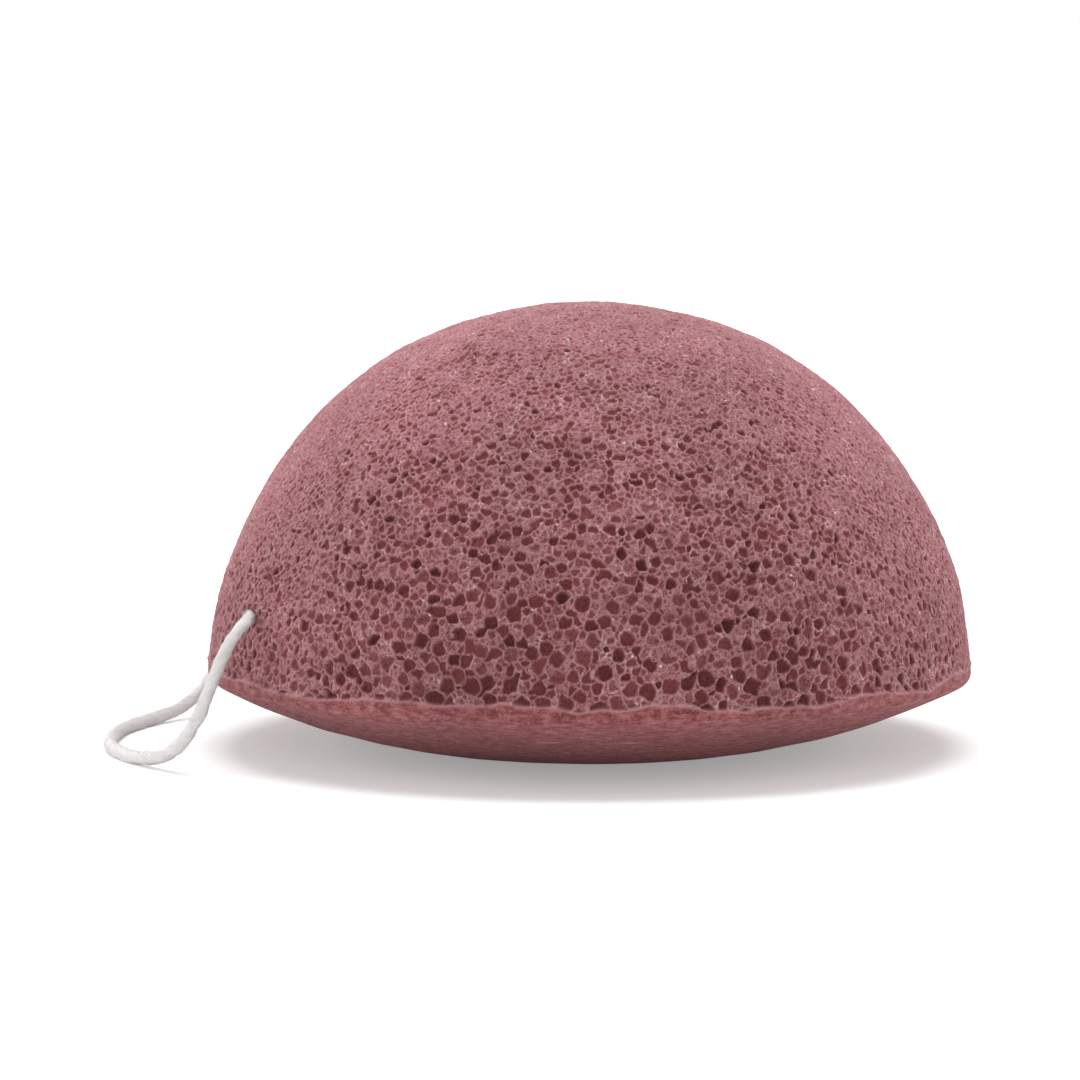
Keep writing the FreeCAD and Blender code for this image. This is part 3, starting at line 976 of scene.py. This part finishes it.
def foamMaterial():
    # open foam: walls with pale crests, partly painted highlight, and painted gleams on their edges,
    # floors and deep cells darkened with painted shade, and between the large cells a net of finer ones with
    # pale flecks, pinholes painted dark as shade and a few painted glints; the skin is denser and has fine
    # streaks that run round it, a pale lip and two scuffs
    material, tree, shader = startMaterial("konjacFoamFinish")
    tints, scales = foamColours, foamScales
    place = objectPlace(tree)
    paintedShade = readAttribute(tree, "paintedShade")
    skin = readAttribute(tree, "skin")
    lip = readAttribute(tree, "lip")
    crest = readAttribute(tree, "crest")
    grain = addNoise(tree, place, scales["grain"], 5.0, 0.72)
    cloud = addNoise(tree, place, scales["cloud"], 4.0, 0.55)
    wobble = addNoise(tree, place, scales["wobble"], output="Color")
    wobble = addVectorMath(tree, "SUBTRACT", wobble, (0.5, 0.5, 0.5))["Vector"]
    bent = addVectorMath(tree, "MULTIPLY_ADD", wobble, (0.0004, 0.0004, 0.0004), place)["Vector"]
    net = addCells(tree, bent, scales["net"], "DISTANCE_TO_EDGE")["Distance"]

    # walls, floors and deep cells darkened with painted shade, and crests paled partly with painted highlight
    openShare = addRange(tree, paintedShade, 0.1, 0.46, 1.0, 0.14)  # fine cells lie between the large ones
    netLine = addMath(tree, "MULTIPLY", addRange(tree, net, 0.02, 0.13, 1.0, 0.0), openShare)
    # the painted shade level, with grain and the fine net, picks the colour from wall through floor to
    # deepShade
    depth = addMath(tree, "MULTIPLY_ADD", addMath(tree, "SUBTRACT", grain, 0.5), 0.9, paintedShade)
    depth = addMath(tree, "SUBTRACT", depth, addMath(tree, "MULTIPLY", netLine, 0.26))
    colour = addRamp(tree, depth, [(0.0, tints["wall"]), (0.45, tints["floor"]), (0.95, tints["deepShade"])])
    # pale crests and fine net lines: partly the thin walls' own paleness, partly painted highlight on the lit
    # wall tops
    crestPaleAndHighlight = addMath(tree, "MULTIPLY", crest, addRange(tree, grain, 0.3, 0.62, 0.25, 1.0))
    crestPaleAndHighlight = addMath(tree, "MULTIPLY", crestPaleAndHighlight, 0.8)
    crestPaleAndHighlight = addMath(tree, "MAXIMUM", crestPaleAndHighlight, addMath(tree, "MULTIPLY", netLine, 0.5))
    colour = mixColours(tree, crestPaleAndHighlight, colour, tints["crest"])
    # painted highlight in patches on the crests
    gleamPatches = addRange(tree, addNoise(tree, place, scales["paintedGleam"]), 0.46, 0.62, 0.0, 0.8)
    paintedGleam = addMath(tree, "MULTIPLY", crest, addRange(tree, grain, 0.48, 0.62))
    colour = mixColours(tree, addMath(tree, "MULTIPLY", paintedGleam, gleamPatches), colour, tints["paintedGleam"])

    # pale flecks, and pinholes painted dark as shade, between the large cells
    paleFlecks = addRange(tree, addNoise(tree, place, scales["paleFlecks"], 3.0, 0.7), 0.53, 0.66, 0.0, 0.7)
    colour = mixColours(tree, addMath(tree, "MULTIPLY", paleFlecks, openShare), colour, tints["crest"])
    # tiny holes painted dark: painted shade
    pinholes = addCells(tree, bent, scales["pinholes"])
    pinholeShade = addRange(tree, pinholes["Distance"], 0.10, 0.24, 0.85, 0.0)
    pinholeShade = addMath(tree, "MULTIPLY", pinholeShade, addRange(tree, pinholes["Color"], 0.46, 0.52))
    pinholeShade = addMath(tree, "MULTIPLY", pinholeShade, openShare)
    colour = mixColours(tree, pinholeShade, colour, tints["pinholeShade"])

    # skin, its lip and its scuffs
    streakLie = readAttribute(tree, "streakLie", "Vector")
    streaks = addNoise(tree, addStretch(tree, streakLie, (1.2, 1.2, 1.0)), scales["streaks"], 8.0, 0.78)
    skinStops = [(0.40, tints["skinDark"]), (0.5, tints["skin"]), (0.61, tints["skinPale"])]
    skinTone = addRamp(tree, streaks, skinStops)
    skinTone = mixColours(tree, addRange(tree, grain, 0.52, 0.68, 0.0, 0.4), skinTone, tints["crest"])
    colour = mixColours(tree, skin, colour, skinTone)
    colour = mixColours(tree, addMath(tree, "MULTIPLY", lip, 0.55), colour, tints["crest"])
    for scuffPlace in skinForm["scuffs"]:
        colour = mixColours(tree, addScuff(tree, place, streaks, *scuffPlace), colour, tints["crest"])

    # clouds over all of it, and a few painted glints on the foam
    cloudTone = greyColour(tree, addRange(tree, cloud, 0.3, 0.7, 0.9, 1.1))
    colour = mixColours(tree, 1.0, colour, cloudTone, "MULTIPLY")
    # a few painted glints, kept off the skin and the pits
    glintSpecks = addCells(tree, place, scales["glintSpecks"])
    chosen = addRange(tree, glintSpecks["Color"], 0.66, 0.70)
    paintedGlint = addMath(tree, "MULTIPLY", chosen, addRange(tree, glintSpecks["Distance"], 0.05, 0.14, 1.0, 0.0))
    paintedGlint = addMath(tree, "MULTIPLY", paintedGlint, addRange(tree, skin, 0.0, 0.3, 0.85, 0.0))
    paintedGlint = addMath(tree, "MULTIPLY", paintedGlint, addRange(tree, paintedShade, 0.1, 0.35, 1.0, 0.0))
    colour = mixColours(tree, paintedGlint, colour, tints["paintedGlint"])

    # bump from the fine cells, and on the skin from its streaks
    relief = addMath(tree, "MULTIPLY_ADD", netLine, 0.5, addMath(tree, "SUBTRACT", grain, pinholeShade))
    skinRelief = addMath(tree, "MULTIPLY", streaks, 3.5)
    height = mixColours(tree, skin, greyColour(tree, relief), greyColour(tree, skinRelief))
    bump = addNode(tree, "ShaderNodeBump", {"Height": height, "Strength": 0.8, "Distance": 0.00016})
    finish = {
        "Base Color": colour,
        "Normal": bump.outputs["Normal"],
        "Roughness": 0.82,
        "Specular IOR Level": 0.25,
        "Subsurface Weight": 0.25,
        "Subsurface Radius": (0.0012, 0.0004, 0.0004),
        "Subsurface Scale": 1.0,
        "Sheen Weight": 0.3,
        "Sheen Tint": opaque(tints["sheen"]),
    }
    setInputs(tree, shader, finish)
    return material


buildSponge()
